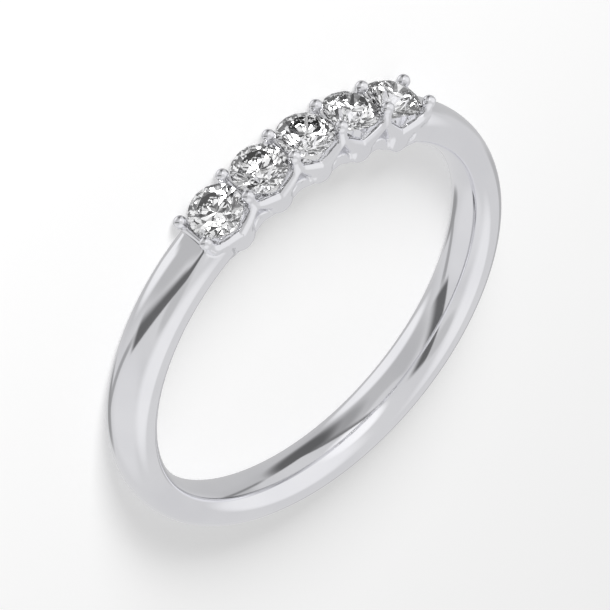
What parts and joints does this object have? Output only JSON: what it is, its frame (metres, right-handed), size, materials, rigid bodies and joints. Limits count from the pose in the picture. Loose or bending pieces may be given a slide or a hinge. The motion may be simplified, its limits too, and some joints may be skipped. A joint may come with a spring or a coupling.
{
  "type": "finger ring",
  "caption": "Polished ring with a row of round brilliant stones in shared prongs on an open V gallery, lying on its flank",
  "frame": {"origin": "the middle of the finger hole, halfway across the band's width", "axes": "+Z runs along the finger's axis, up when the ring lies on its flank; the row of stones faces -Y; X runs along the row of stones"},
  "size_m": [0.0196, 0.0203, 0.0024],
  "materials": {
    "metal": "polished white gold",
    "stone": "clear cut stone"
  },
  "bodies": {
    "root": {"ring": "metal", "stone_1": "stone", "stone_2": "stone", "stone_3": "stone", "stone_4": "stone", "stone_5": "stone"}
  },
  "joints": []
}
